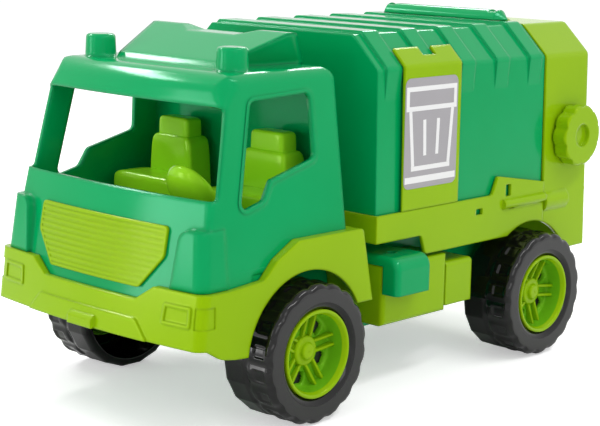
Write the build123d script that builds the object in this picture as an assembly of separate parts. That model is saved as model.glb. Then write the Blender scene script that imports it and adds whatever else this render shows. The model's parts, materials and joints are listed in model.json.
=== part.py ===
# Toy garbage truck for sand and floor play, about half a metre long, moulded in plastic.
# Millimetres. +Z up, the truck's length along Y, its front towards -Y, its left side towards +X.
# The origin is on the ground, midway between the tow lug in front and the rear of the tailgate.
from build123d import *
from math import cos, radians, sin
import os

os.makedirs("parts", exist_ok=True)

# Overall
wheelbase = 286.5
front_overhang = 122.5    # tow lug to the front axle
rear_overhang = 87.0      # rear axle to the rear of the tailgate
slip = 0.3                # gap between pieces that sit against each other
wall = 3.0                # every moulded wall
run_fit = 0.05            # radial clearance of a shaft in its bore
bow_radius = 875.0        # every cross-wise front is bowed to this radius in plan
cut = 10.0                # cutters reach this much past what they cut

# Wheels and axles
tyre_radius = 54.0
tyre_width = 50.0
tyre_outer_x = 131.3      # outer face of each tyre
tread_depth = 2.0         # the tread's flats lie this much inside its corners
tread_sides = 36
sidewall_round = 4.0
rim_radius = 34.0
rim_seat = 3.0            # depth of the lip that holds the tyre
floor_depth = 20.0        # rim's lip back to the dish's floor
hub_depth = 14.0          # rim's lip back to the hub's face
hub_radius = 11.5
hub_cap_radius = 6.5
hub_cap_length = 3.0
spoke_count = 5
spoke_gap = 6.0           # between the two ribs of a spoke
spoke_rib = 2.2
window_inner_radius = 17.0
window_outer_radius = 25.5
window_angle = 30.0
axle_radius = 3.0
axle_end_inset = 9.0      # the rod ends this far inside the hub's face
wheel_gap = 0.5           # hub to chassis
arch_gap = 8.0            # tyre to wheel arch

# Chassis
chassis_half_width = 72.0
chassis_top_z = 118.5
chassis_bottom_z = 44.0
chassis_front = 80.0      # ahead of the front axle
nose_half_width = 58.0
deck_end = 3.5            # the deck ends this far ahead of the rear axle
boss_radius = 9.0
boss_length = 8.0
saddle_front = 91.0       # green box over each side skirt, behind the front axle
saddle_length = 39.0
saddle_outer_x = 128.0
saddle_top_z = 112.0
saddle_bottom_z = 82.0
saddle_round = 10.0
saddle_front_round = 5.0
peg_hole_radius = 3.0
peg_hole_in = 24.0        # from the saddle's outer face

# Side skirts
skirt_front = 92.0        # behind the front axle
tail_clearance = 27.0     # the skirt ends this far ahead of the rear tyre
skirt_tail_length = 33.0
skirt_outer_x = 112.0
skirt_top_z = 104.0
skirt_bottom_z = 55.0
skirt_tail_top_z = 96.0
skirt_tail_bottom_z = 59.5
skirt_round = 4.0

# Cab
belt_z = 175.8            # lower edge of the windscreen
belt_half_width = 106.35
side_slope = 0.0976       # the sides lean in towards the roof
belt_front = 95.0         # ahead of the front axle, at the middle of the face
low_face_slope = 0.19     # the face leans back less below the belt
high_face_slope = 0.27
cab_top_z = 263.0
cab_rear = 47.5           # behind the front axle, at the belt
rear_slope = 0.04         # the rear wall leans forward
cab_corner = 5.0
roof_corner = 22.0        # in plan, at the roof
roof_front_round = 18.0
roof_side_round = 12.0
roof_rear_round = 8.0
screen_top_z = 240.4
pillar_belt = 82.0        # front edge of the pillars at the belt, ahead of the front axle
pillar_top = 69.0
screen_round = 3.0
window_round = 5.0
window_rim_width = 3.0
window_rim_height = 0.9
wing_cover = 52.0         # the cab's sides go down behind the wings to here, ahead of the front axle
beacon_radius = 12.0
beacon_height = 17.5
beacon_x = 74.7
beacon_ahead = 39.0
panel_proud = 1.3         # corner panels stand this much over the cab's side
panel_front = 106.3       # ahead of the front axle at the panel's top
panel_slope = 0.108
panel_top_z = 155.5
panel_rear = 78.0         # ahead of the front axle
panel_corner = 9.0
panel_edge_low_x = 83.0   # inner edge of each corner panel at its foot and at its top
panel_edge_high_x = 88.0

# Roof deflector: a ramp that widens upwards, with a notch in its crest
deflector_foot = 41.0     # ahead of the front axle
deflector_toe = 32.0
deflector_toe_z = 267.5
deflector_crest = 18.0    # behind the front axle
deflector_crest_z = 288.0
deflector_back = 25.0
deflector_heel = 45.0
deflector_half_width = 77.0    # at the crest
deflector_flare = 0.553        # widens upwards
deflector_spread = 0.118       # widens to the rear
notch_z = 284.0
notch_low_x = 27.0
notch_high_x = 43.0

# Bumper with the front wings
bumper_half_width = 118.5
bumper_front = 118.0      # ahead of the front axle, at its lower edge
bumper_slope = 0.12
bumper_bottom_z = 72.6
bumper_side_bottom_z = 60.6
bumper_top_z = 112.5
bumper_dip_z = 101.0      # its upper edge under the grille
dip_high_x = 70.0
dip_low_x = 52.5
wing_top_z = 140.0
wing_rear = 60.0          # behind the front axle
bumper_corner = 8.0
tow_lug_half_width = 14.0
tow_lug_top_z = 82.0
bumper_panel_proud = 1.5
lamp_inner_x = 80.5
lamp_outer_x = 108.0
lamp_low_z = 88.0
lamp_high_z = 103.5
lamp_frame = 2.6
lamp_proud = 1.0

# Grille
grille_top_z = 155.0
grille_bottom_z = 108.6
grille_mid_z = 133.0
grille_half_width = 72.0
grille_low_half_width = 51.0
grille_round = 3.5
grille_thickness = 1.6
grille_border = 2.4
slat_count = 10
slat_height = 0.5

# Seats and steering wheel
seat_x = 53.0
seat_width = 76.0
seat_back_front = 15.0    # behind the front axle
seat_back_depth = 20.0
seat_back_top_z = 197.0
head_width = 40.0
head_top_z = 212.0
head_back = 4.0           # the head's face lies behind the back's
cushion_top_z = 168.0
cushion_front = 16.0      # ahead of the front axle
cushion_round = 7.0
head_round = 7.0
steering_x = 47.0
steering_ahead = 50.0
steering_z = 171.5
steering_radius = 25.0
steering_tilt = 125.0     # the domed side looks forwards and down
steering_rise = 8.0
column_radius = 7.0

# Bed tray
tray_front = 82.6         # behind the front axle
tray_half_width = 112.0
tray_top_z = 145.0
tray_low_z = 107.0
tray_step_z = 123.0       # the raised edge over the saddle boxes
tray_step_back = 8.0      # the step lies this far behind the saddle box
tray_step_run = 11.0
ear_start = 76.0          # ahead of the tailgate
ear_peak = 68.5
ear_top_z = 160.5
ear_end_z = 149.0
slot_z = 130.5
slot_height = 5.0
slot_width = 8.7
slot_front = 97.5         # ahead of the tailgate
slot_pitch = 45.3
finger_slot_ahead = 57.0
finger_slot_z = 142.0
finger_slot_height = 10.0
bar_radius = 4.5
bar_z = 135.5
bar_front = 61.0          # ahead of the tailgate

# Tipping hinge, behind the rear axle
tip_behind = 28.5
tip_z = 80.0
tip_pin_radius = 3.0
tip_lug_x = 55.0
tip_lug_width = 7.0
tip_eye_radius = 8.0

# Bin
bin_front = 85.5          # behind the front axle
bin_low_half_width = 108.4
bin_high_half_width = 106.3
bin_shoulder_z = 258.5
bin_roof_half_width = 79.7
bin_roof_z = 284.4
bin_edge_round = 4.0
rib_height = 2.4
rib_width = 18.0
rib_front = 18.0          # centre of the foremost rib behind the bin's front
rib_rear = 15.0           # centre of the rearmost rib ahead of the bin's rear
rib_count = 5
rib_foot = 24.0           # ribs fade out this far below the shoulder

# Straps that hold the bin down, from the first rib to the third
strap_top_x = 97.0
strap_thickness = 2.4
strap_notch_width = 16.0
strap_notch_depth = 4.0
strap_short = 4.5         # the strap ends this far ahead of the third rib

# Tailgate
tailgate_depth = 67.0
gate_gap = 1.0            # bin to tailgate
gate_low_half_width = 112.0
gate_high_half_width = 107.5
gate_bottom_z = 85.0
gate_round = 5.0
gate_edge_round = 6.0
hopper_floor_z = 134.0
hopper_half_width = 76.0
hopper_bottom_z = 206.0
hopper_top_z = 262.0
hopper_round = 6.0
barrel_radius = 10.5
barrel_x = 104.5
barrel_z = 130.5
barrel_length = 35.0
gate_hinge_ahead = 9.2    # hinge to the tailgate's front
gate_hinge_z = 290.4
gate_pin_radius = 1.5
gate_eye_radius = 3.0
gate_lug_x = 58.0
gate_lug_width = 6.0
cover_radius = 10.0
cover_z = 285.8           # centre of the cover's round
cover_half_length = 71.0
cover_end = 8.5           # its ends slope in by this much
cover_wall = 2.2

# Press, turned by the knob
press_ahead = 30.5        # shaft to the tailgate's rear
press_z = 187.5
press_shaft_radius = 5.0
press_blade_radius = 24.0
press_blade_count = 3
knob_radius = 27.0
knob_lobe_radius = 9.5
knob_lobe_count = 10
knob_thickness = 13.0
knob_gap = 2.0
knob_recess_radius = 10.0
knob_recess_depth = 4.0
knob_bevel = 1.5

# Places worked out from these
length = front_overhang + wheelbase + rear_overhang
front_axle_y = front_overhang - length / 2
rear_axle_y = front_axle_y + wheelbase
rear_y = length / 2
axle_z = tyre_radius
arch_radius = tyre_radius + arch_gap
tyre_inner_x = tyre_outer_x - tyre_width
cab_bottom_z = bumper_dip_z - wall
bin_front_y = front_axle_y + bin_front
gate_front_y = rear_y - tailgate_depth
bin_rear_y = gate_front_y - gate_gap
tray_front_y = front_axle_y + tray_front
tray_floor_z = tray_step_z
bin_floor_z = tray_floor_z + wall + slip
cab_floor_z = chassis_top_z + slip
tip_y = rear_axle_y + tip_behind
deck_rear_y = rear_axle_y - deck_end
gate_hinge_y = gate_front_y - gate_hinge_ahead
press_y = rear_y - press_ahead
saddle_y = front_axle_y + saddle_front
saddle_rear_y = saddle_y + saddle_length
reach = 2 * bumper_half_width     # cutters reach past the truck's sides


def block(x0, x1, y0, y1, z0, z1):
    """A block between its lowest and highest corners."""
    return Pos((x0 + x1) / 2, (y0 + y1) / 2, (z0 + z1) / 2) * Box(x1 - x0, y1 - y0, z1 - z0)


def outline(points, rounds=None):
    """A flat face from its corners; rounds gives the radius of some corners by their number."""
    face = make_face(Polyline(*points, close=True))
    for i, radius in (rounds or {}).items():
        corner = face.vertices().sort_by_distance(Vector(*points[i], 0))[0]
        face = fillet(corner, radius)
    return face


def across(points, x0, x1, rounds=None):
    """A prism across the truck: an outline of (y, z) points carried from x0 to x1."""
    return Pos(x0, 0, 0) * extrude(Plane.YZ * outline(points, rounds), x1 - x0)


def along(points, y0, y1, rounds=None):
    """A prism along the truck: an outline of (x, z) points carried from y0 to y1."""
    return Pos(0, y1, 0) * extrude(Plane.XZ * outline(points, rounds), y1 - y0)


def rod(radius, x0, x1, y, z):
    """A round bar across the truck."""
    return Pos((x0 + x1) / 2, y, z) * Rot(0, 90, 0) * Cylinder(radius, x1 - x0)


def mirrored(shape):
    """The same shape on the truck's other side."""
    return mirror(shape, about=Plane.YZ)


def both(shape):
    return shape + mirrored(shape)


def save(shape, name):
    solids = shape.solids()
    export_step(solids[0] if len(solids) == 1 else Compound(children=list(solids)), f"parts/{name}.step")


# Cab: leaning walls with a bowed face, and round edges to the roof


def face_y(z):
    """The middle of the cab's face at a height."""
    slope = low_face_slope if z < belt_z else high_face_slope
    return front_axle_y - belt_front + slope * (z - belt_z)


def side_x(z):
    """The cab's side at a height."""
    return belt_half_width - side_slope * (z - belt_z)


def rear_face_y(z):
    """The cab's rear wall at a height."""
    return front_axle_y + cab_rear - rear_slope * (z - belt_z)


def bowed_plan(z, half_width, front, rear, corner):
    """Plan of a cab or bumper: a bowed front with round corners, straight sides and a straight rear."""
    side_front = front + bow_radius - (bow_radius**2 - half_width**2) ** 0.5
    edge = Line((half_width, rear), (half_width, side_front))
    edge += ThreePointArc((half_width, side_front), (0, front), (-half_width, side_front))
    edge += Line((-half_width, side_front), (-half_width, rear))
    edge += Line((-half_width, rear), (half_width, rear))
    face = make_face(edge)
    corners = face.vertices().group_by(Axis.Y)[0]
    return Pos(0, 0, z) * fillet(corners, corner)


def rounded_edge(corner, wall_down, roof_in, radius):
    """What rounding an edge takes away: the region outside a circle that touches the wall and the roof."""
    corner = Vector(*corner)
    down = Vector(*wall_down).normalized()
    inward = Vector(roof_in, 0)
    bisector = (down + inward).normalized()
    normal = Vector(-down.Y, down.X)
    if normal.dot(inward) > 0:
        normal = normal * -1
    sine = -bisector.dot(normal)
    bite = 0.1
    centre = corner + bisector * ((radius - bite) / sine)
    far = radius + cut
    region = make_face(Polyline(
        (centre.X, centre.Y),
        ((centre + normal * far).X, (centre + normal * far).Y),
        ((corner - bisector * far).X, (corner - bisector * far).Y),
        (centre.X, centre.Y + far), close=True))
    return region - Pos(centre.X, centre.Y) * Circle(radius)


def cab_solid(inset, low_z):
    """The cab's outer form, or the same form further in by a wall."""
    top = cab_top_z - inset
    sections = []
    for z, corner in ((low_z, cab_corner), (belt_z, cab_corner), (screen_top_z, cab_corner), (top, roof_corner)):
        sections.append(bowed_plan(z, side_x(z) - inset, face_y(z) + inset, rear_face_y(z) - inset,
                                   max(corner - inset, 1)))
    body = loft(sections, ruled=True)
    bow_axis = Axis((0, face_y(top) + bow_radius, 0), (0, 0, 1))
    front_edge = Plane.YZ * rounded_edge((face_y(top) + inset, top), (-high_face_slope, -1), 1,
                                         roof_front_round - inset)
    turn = 15
    front_edge = revolve(front_edge, bow_axis, turn) + revolve(front_edge, bow_axis, -turn)
    side_edge = Plane.XZ * rounded_edge((side_x(top) - inset, top), (side_slope, -1), -1, roof_side_round - inset)
    side_edge = Pos(0, 2 * front_overhang, 0) * extrude(side_edge, 2 * length)
    rear_edge = Plane.YZ * rounded_edge((rear_face_y(top) - inset, top), (rear_slope, -1), -1, roof_rear_round - inset)
    rear_edge = Pos(-reach, 0, 0) * extrude(rear_edge, 2 * reach)
    return body - front_edge - both(side_edge) - rear_edge


cab_outer = cab_solid(0, cab_bottom_z)
cab_inner = cab_solid(wall, cab_bottom_z - cut)
arches = rod(arch_radius, -reach, reach, front_axle_y, axle_z)

# The windscreen opening takes the face and its corners, back to the two pillars
screen_cut = across([
    (front_axle_y - 2 * front_overhang, belt_z),
    (front_axle_y - pillar_belt, belt_z),
    (front_axle_y - pillar_top, screen_top_z),
    (front_axle_y - 2 * front_overhang, screen_top_z),
], -reach, reach, {1: screen_round, 2: screen_round})

# Side window, as distances behind the front axle and heights
window_points = [(-45.6, 243.2), (16.0, 246.0), (18.0, 197.0), (-29.3, 185.2), (-37.7, 171.0), (-61.5, 165.0)]
window_face = Plane.YZ * make_face(Polyline(*[(front_axle_y + y, z) for y, z in window_points], close=True))
window_face = fillet(window_face.vertices(), window_round)
window_cut = Pos(-reach, 0, 0) * extrude(window_face, 2 * reach)
window_zone = Pos(-reach, 0, 0) * extrude(offset(window_face, window_rim_width), 2 * reach)
window_rims = (cab_solid(-window_rim_height, cab_bottom_z) & window_zone) & both(
    block(side_x(cab_top_z), reach, front_axle_y - pillar_belt, front_axle_y + cab_rear - wall, belt_z - 30, cab_top_z))


# Corner panels under the windscreen's corners, more upright than the cab


def panel_form(inset):
    sections = []
    for z in (cab_bottom_z, panel_top_z + cut):
        front = front_axle_y - panel_front + panel_slope * (z - panel_top_z) + inset
        sections.append(bowed_plan(z, side_x(z) + panel_proud - inset, front, front_axle_y, panel_corner - inset))
    return loft(sections, ruled=True)


def panel_zone(inset):
    low_z = bumper_top_z + slip
    outer_x = bumper_half_width + cut
    points = [(panel_edge_low_x + inset, low_z - 2 * inset), (panel_edge_high_x + inset, panel_top_z - inset),
              (outer_x, panel_top_z - inset), (outer_x, low_z - 2 * inset)]
    zone = along(points, front_axle_y - front_overhang - cut, front_axle_y - panel_rear - inset, {1: panel_corner - inset})
    return both(zone)


panels = panel_form(0) & panel_zone(0)
panel_hollows = panel_form(wall) & panel_zone(wall)


def deflector_form(inset):
    """The ramp over the cab, whose sides lean outwards, or the same form further in by a wall."""
    profile = across([
        (front_axle_y - deflector_foot + 2 * inset, cab_top_z - 2 - 2 * inset),
        (front_axle_y - deflector_toe + 2 * inset, deflector_toe_z - inset),
        (front_axle_y + deflector_crest, deflector_crest_z - 1.1 * inset),
        (front_axle_y + deflector_back - inset / 2, deflector_crest_z - 1.1 * inset),
        (front_axle_y + deflector_heel - inset, cab_top_z - 1 - 2 * inset),
    ], -reach, reach, {3: 3.0} if inset == 0 else None)
    plans = []
    for z in (cab_top_z - 20, deflector_crest_z + cut):
        widths = []
        for behind in (-deflector_foot - cut, deflector_heel + cut):
            widths.append(deflector_half_width - 1.1 * inset + deflector_spread * (behind - deflector_crest)
                          + deflector_flare * (z - deflector_crest_z))
        plan = make_face(Polyline(
            (-widths[0], front_axle_y - deflector_foot - cut), (widths[0], front_axle_y - deflector_foot - cut),
            (widths[1], front_axle_y + deflector_heel + cut), (-widths[1], front_axle_y + deflector_heel + cut), close=True))
        plans.append(Pos(0, 0, z) * plan)
    flared = loft(plans, ruled=True)
    rise = deflector_crest_z - notch_z
    widen = (notch_high_x - notch_low_x) / rise
    notch = along([
        (notch_low_x + inset, notch_z - inset),
        (notch_low_x + inset + widen * 2 * rise, notch_z - inset + 2 * rise),
        (-notch_low_x - inset - widen * 2 * rise, notch_z - inset + 2 * rise),
        (-notch_low_x - inset, notch_z - inset),
    ], front_axle_y - deflector_foot, front_axle_y + deflector_heel + cut)
    return (profile & flared) - notch


def beacon_form(inset):
    low_z = cab_top_z - wall
    taper = 1.0
    cone = Pos(beacon_x, front_axle_y - beacon_ahead, low_z - inset) * Cone(
        beacon_radius + taper / 2 - inset, beacon_radius - taper / 2 - inset, beacon_height + wall,
        align=(Align.CENTER, Align.CENTER, Align.MIN))
    return fillet(cone.edges().sort_by(Axis.Z)[-1], wall - inset / 2)


cab = cab_outer + window_rims + panels + deflector_form(0) + both(beacon_form(0))
cab -= cab_inner
cab -= panel_hollows
cab -= deflector_form(wall)
cab -= both(beacon_form(wall - 0.5))
cab -= screen_cut
cab -= window_cut
cab -= arches
# Behind the wings the side and rear walls end at the cab's floor
cab -= block(-reach, reach, front_axle_y - wing_cover, front_axle_y + cab_rear + cut, cab_bottom_z - 2 * cut, cab_floor_z)
save(cab, "cab")

# Bumper with the front wings: one shell round the cab's foot


def bumper_form(inset):
    """The bumper's outer form, leaning back upwards, or the same form further in by a wall."""
    rear = front_axle_y + wing_rear + 2 * cut - inset
    sections = []
    for z in (bumper_side_bottom_z - cut, wing_top_z + cut):
        front = front_axle_y - bumper_front + bumper_slope * (z - bumper_bottom_z) + inset
        sections.append(bowed_plan(z, bumper_half_width - inset, front, rear, bumper_corner - inset))
    return loft(sections, ruled=True)


def under_edge(drop):
    """Everything under the bumper's upper edge, lowered by drop."""
    far_front = -length
    side = across([
        (far_front, 0),
        (far_front, bumper_top_z - drop),
        (front_axle_y - panel_rear, bumper_top_z - drop),
        (front_axle_y - 47, bumper_top_z + 2.5 - drop),
        (front_axle_y - 33, 128 - drop),
        (front_axle_y - 10, wing_top_z - drop),
        (front_axle_y + wing_rear, wing_top_z - drop),
        (front_axle_y + wing_rear + 12.5, 82 - drop),
        (front_axle_y + wing_rear + 12.5, 0),
    ], -reach, reach, {3: 3, 4: 8, 5: 8, 6: 4})
    dip = along([
        (-dip_high_x, wing_top_z + cut),
        (-dip_high_x, bumper_top_z - drop),
        (-dip_low_x, bumper_dip_z - drop),
        (dip_low_x, bumper_dip_z - drop),
        (dip_high_x, bumper_top_z - drop),
        (dip_high_x, wing_top_z + cut),
    ], far_front, front_axle_y - panel_rear, {2: 2, 3: 2})
    return side - dip


def front_relief(points, proud, rounds=None):
    """A panel that stands out of the bumper: an outline of (x, z) points, raised by proud."""
    return (bumper_form(-proud) - bumper_form(wall / 2)) & along(points, -length, front_axle_y - bumper_half_width / 2, rounds)


bumper_skin = bumper_form(0)
bumper = (bumper_skin & under_edge(0)) - (bumper_form(wall) & under_edge(wall))
bumper -= cab_solid(-slip, cab_bottom_z - slip)
bumper -= arches
panel_foot_z = bumper_bottom_z - 2
bumper += front_relief([(-68, panel_foot_z), (-67.5, 74), (-55.5, 87.5), (55.5, 87.5), (67.5, 74), (68, panel_foot_z)],
                       bumper_panel_proud, {2: 4, 3: 4})
lamp_ring = outline([(lamp_inner_x, lamp_low_z), (lamp_inner_x + 1.5, lamp_high_z),
                     (lamp_outer_x, lamp_high_z), (lamp_outer_x, lamp_low_z)], {0: 2, 1: 2, 2: 2, 3: 2})
lamp_ring = lamp_ring - offset(lamp_ring, -lamp_frame)
lamp_ring = Pos(0, front_axle_y - bumper_half_width / 2, 0) * extrude(Plane.XZ * lamp_ring, length)
bumper += both((bumper_form(-lamp_proud) - bumper_form(wall / 2)) & lamp_ring)
# A shallow recess runs from each lamp round the corner
corner_band = both(block(lamp_outer_x + 3, reach, front_axle_y - front_overhang, front_axle_y - 95, lamp_low_z, lamp_high_z))
bumper -= (bumper_form(-cut) - bumper_form(0.8)) & corner_band
# Front lower edge, lower beside the wheels
bumper -= across([
    (-length, 0),
    (-length, bumper_bottom_z),
    (front_axle_y - 103, bumper_bottom_z),
    (front_axle_y - 89, 64.2),
    (front_axle_y - 76, bumper_side_bottom_z + 1.2),
    (front_axle_y - 60, bumper_side_bottom_z),
    (front_axle_y - 60, 0),
], -reach, reach, {2: 12, 3: 12, 4: 12})
# Rear end of each wing stops at the arch's rear lip
bumper -= block(-reach, reach, front_axle_y, front_axle_y + 2 * arch_radius, 0, 82)
# The frame passes between the two wings
bumper -= block(-chassis_half_width - slip, chassis_half_width + slip, front_axle_y - chassis_front - slip,
                front_axle_y + 2 * arch_radius, 0, 2 * wing_top_z)
tow_front_y = front_axle_y - front_overhang
tow_lug = block(-tow_lug_half_width, tow_lug_half_width, tow_front_y, front_axle_y - bumper_front + wall,
                bumper_bottom_z, tow_lug_top_z)
tow_lug = chamfer(tow_lug.edges().filter_by(Axis.X).group_by(Axis.Y)[0].sort_by(Axis.Z)[-1], 3)
tow_slit = block(-5, 5, tow_front_y + 5.6, front_axle_y - bumper_front + 8, tow_lug_top_z - 1, tow_lug_top_z + 1.4)
bumper = bumper + tow_lug - tow_slit
save(bumper, "bumper")

# Grille: a thin plate with a border and low slats

grille_points = [(-grille_low_half_width, grille_bottom_z), (-grille_half_width, grille_mid_z),
                 (-grille_half_width, grille_top_z), (grille_half_width, grille_top_z),
                 (grille_half_width, grille_mid_z), (grille_low_half_width, grille_bottom_z)]
grille_rounds = {0: grille_round, 1: 6, 2: grille_round, 3: grille_round, 4: 6, 5: grille_round}
grille_face = outline(grille_points, grille_rounds)


def grille_layer(face, proud):
    """A layer on the cab's face within an outline, up to proud of the cab's skin."""
    zone = Pos(0, front_axle_y - 60, 0) * extrude(Plane.XZ * face, length)
    return (cab_solid(-slip - proud, cab_bottom_z) - cab_solid(-slip, cab_bottom_z - cut)) & zone


field = offset(grille_face, -grille_border)
slat_pitch = (grille_top_z - grille_bottom_z - 2 * grille_border) / slat_count
slats = None
for i in range(slat_count):
    slat_z = grille_bottom_z + grille_border + slat_pitch * (i + 0.5)
    slat = Pos(0, slat_z) * Rectangle(2 * grille_half_width, slat_pitch * 0.55)
    slats = slat if slats is None else slats + slat
border = grille_face - field
grille = grille_layer(grille_face, grille_thickness) + grille_layer(border, grille_thickness + slat_height)
grille += grille_layer(field & slats, grille_thickness + slat_height)
save(grille, "grille")

# Seats on one floor plate, and the steering wheel

floor_x = side_x(cab_floor_z) - wall - slip
floor_front_y = face_y(cab_floor_z) + wall + slip + belt_half_width**2 / (2 * bow_radius) + cab_corner
floor_rear_y = rear_face_y(cab_floor_z) - wall - slip
back_front_y = front_axle_y + seat_back_front
cushion_y = front_axle_y - cushion_front
cushion = block(seat_x - seat_width / 2, seat_x + seat_width / 2, cushion_y, back_front_y + 2, cab_floor_z, cushion_top_z)
cushion = fillet(cushion.edges().filter_by(Axis.X).group_by(Axis.Z)[-1], cushion_round)
cushion = fillet(cushion.faces().sort_by(Axis.Z)[-1].edges().filter_by(Axis.Y), wall)
back_half = seat_width / 2 - 2
back = along([
    (seat_x - back_half, cab_floor_z),
    (seat_x - back_half + 3, seat_back_top_z),
    (seat_x + back_half - 3, seat_back_top_z),
    (seat_x + back_half, cab_floor_z),
], back_front_y, back_front_y + seat_back_depth, {1: cushion_round, 2: cushion_round})
back = fillet(back.faces().sort_by(Axis.Y)[0].edges().group_by(Axis.Z)[-1], wall)
head = along([
    (seat_x - head_width / 2, seat_back_top_z - wall),
    (seat_x - head_width / 2, head_top_z),
    (seat_x + head_width / 2, head_top_z),
    (seat_x + head_width / 2, seat_back_top_z - wall),
], back_front_y + head_back, back_front_y + seat_back_depth - 1, {1: head_round, 2: head_round})
hollow_x = seat_width / 2 - 2 * wall
cushion_hollow = block(seat_x - hollow_x, seat_x + hollow_x, cushion_y + wall, back_front_y + 2,
                       cab_floor_z - 1, cushion_top_z - wall)
back_hollow = block(seat_x - hollow_x, seat_x + hollow_x, back_front_y + 1, back_front_y + seat_back_depth - wall,
                    cab_floor_z - 1, seat_back_top_z - 2 * wall)
floor = block(-floor_x, floor_x, floor_front_y, floor_rear_y, cab_floor_z, cab_floor_z + wall)
interior = floor + both(cushion + back + head) - both(cushion_hollow + back_hollow)
save(interior, "seats")

ball_radius = (steering_radius**2 + steering_rise**2) / (2 * steering_rise)
disc = Pos(0, 0, steering_rise - ball_radius) * (Sphere(ball_radius) - Sphere(ball_radius - wall))
disc &= Cylinder(steering_radius, 2 * cut, align=(Align.CENTER, Align.CENTER, Align.MIN))
steering_y = front_axle_y - steering_ahead
disc = Pos(steering_x, steering_y, steering_z) * Rot(steering_tilt, 0, 0) * disc
foot_z = cab_floor_z + wall + slip
column = Pos(steering_x, steering_y, foot_z) * Cylinder(
    column_radius, steering_z - foot_z - steering_rise + 2, align=(Align.CENTER, Align.CENTER, Align.MIN))
save(disc + column, "steering_wheel")

# Chassis: a deck with side walls, a nose to the bumper, and a saddle box at each side

chassis_front_y = front_axle_y - chassis_front
tail_y = tip_y + tip_eye_radius
nose_y = front_axle_y - bumper_front + wall + slip
nose_bottom_z = bumper_bottom_z + 1
deck_slope_y = chassis_front_y + 8
chassis = across([
    (chassis_front_y, nose_bottom_z),
    (chassis_front_y, cab_bottom_z - slip),
    (deck_slope_y, chassis_top_z),
    (deck_rear_y, chassis_top_z),
    (tail_y - 4, tip_z + 14),
    (tail_y + 3, tip_z + 5),
    (tail_y + 3, tip_z - 9),
    (rear_axle_y + 14, chassis_bottom_z),
    (front_axle_y - 30, chassis_bottom_z),
], -chassis_half_width, chassis_half_width)
inside = across([
    (chassis_front_y + wall, 0),
    (chassis_front_y + wall, cab_bottom_z - slip - wall),
    (deck_slope_y + wall, chassis_top_z - wall),
    (deck_rear_y - wall, chassis_top_z - wall),
    (deck_rear_y - wall, 0),
], wall - chassis_half_width, chassis_half_width - wall)
tail_gap = block(wall - chassis_half_width, chassis_half_width - wall, deck_rear_y, rear_y, 0, chassis_top_z + cut)
chassis = chassis - inside - tail_gap
nose = block(-nose_half_width, nose_half_width, nose_y, chassis_front_y + 1, nose_bottom_z, cab_bottom_z - slip)
nose &= bumper_form(wall + slip)
nose -= block(wall - nose_half_width, nose_half_width - wall, nose_y + wall + 4, chassis_front_y + 2,
              0, cab_bottom_z - slip - wall)
chassis += nose
saddle = along([
    (chassis_half_width - 1, saddle_top_z),
    (chassis_half_width - 1, skirt_top_z + slip),
    (skirt_outer_x + slip, skirt_top_z + slip),
    (skirt_outer_x + slip, saddle_bottom_z),
    (saddle_outer_x, saddle_bottom_z),
    (saddle_outer_x, saddle_top_z),
], saddle_y, saddle_rear_y, {5: saddle_round})
saddle = fillet(saddle.faces().sort_by(Axis.Y)[0].edges().filter_by(lambda e: e.center().X > skirt_outer_x + wall)
                .filter_by(lambda e: e.center().Z > saddle_bottom_z + 1), saddle_front_round)
saddle_hollow = block(chassis_half_width, skirt_outer_x - wall, saddle_y + wall, saddle_rear_y - wall,
                      skirt_top_z - cut, saddle_top_z - wall)
saddle_hollow += block(skirt_outer_x + wall + slip, saddle_outer_x - wall, saddle_y + 2 * wall, saddle_rear_y - wall,
                       saddle_bottom_z - 1, saddle_top_z - saddle_round)
saddle -= saddle_hollow
saddle -= Pos(saddle_outer_x - peg_hole_in, (saddle_y + saddle_rear_y) / 2, saddle_top_z) * Cylinder(
    peg_hole_radius, 2 * wall + 2)
chassis += both(saddle)
for y in (front_axle_y, rear_axle_y):
    chassis += both(rod(boss_radius, chassis_half_width - boss_length, chassis_half_width, y, axle_z))
    chassis -= rod(axle_radius + run_fit, -reach, reach, y, axle_z)
tip_boss = rod(tip_eye_radius + 2, chassis_half_width - wall - 6, chassis_half_width, tip_y, tip_z)
chassis += both(tip_boss)
chassis -= rod(tip_pin_radius + run_fit, -reach, reach, tip_y, tip_z)
save(chassis, "chassis")
save(rod(tip_pin_radius, -chassis_half_width, chassis_half_width, tip_y, tip_z), "tip_pin")

# Side skirts

skirt_y = front_axle_y + skirt_front
skirt_end_y = rear_axle_y - tyre_radius - tail_clearance
skirt_mid_y = skirt_end_y - skirt_tail_length
skirt_inner_x = chassis_half_width + slip


def skirt_form(inset):
    low = inset * 3
    front = block(skirt_inner_x - inset, skirt_outer_x - inset, skirt_y + inset, skirt_mid_y - inset,
                  skirt_bottom_z - low, skirt_top_z - inset)
    tail = block(skirt_inner_x - inset, skirt_outer_x - inset, skirt_mid_y - inset - 1, skirt_end_y - inset,
                 skirt_tail_bottom_z - low, skirt_tail_top_z - inset)
    if inset == 0:
        front = fillet(front.faces().sort_by(Axis.X)[-1].edges(), skirt_round)
        tail = fillet(tail.faces().sort_by(Axis.X)[-1].edges().sort_by(Axis.Z)[-1], skirt_round)
    return front + tail


skirt = skirt_form(0) - skirt_form(wall)
save(skirt, "skirt_left")
save(mirrored(skirt), "skirt_right")

# Wheels, as places along X from each wheel's outer face inwards

dish_floor_x = tyre_outer_x - floor_depth
hub_face_x = tyre_outer_x - hub_depth
axle_end_x = hub_face_x - axle_end_inset
hub_inner_x = chassis_half_width + wheel_gap
lip_radius = rim_radius - rim_seat


def ring(points):
    """A solid of revolution about the X axis from an outline of (x, radius) points."""
    return revolve(make_face(Polyline(*points, close=True)), Axis.X)


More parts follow.
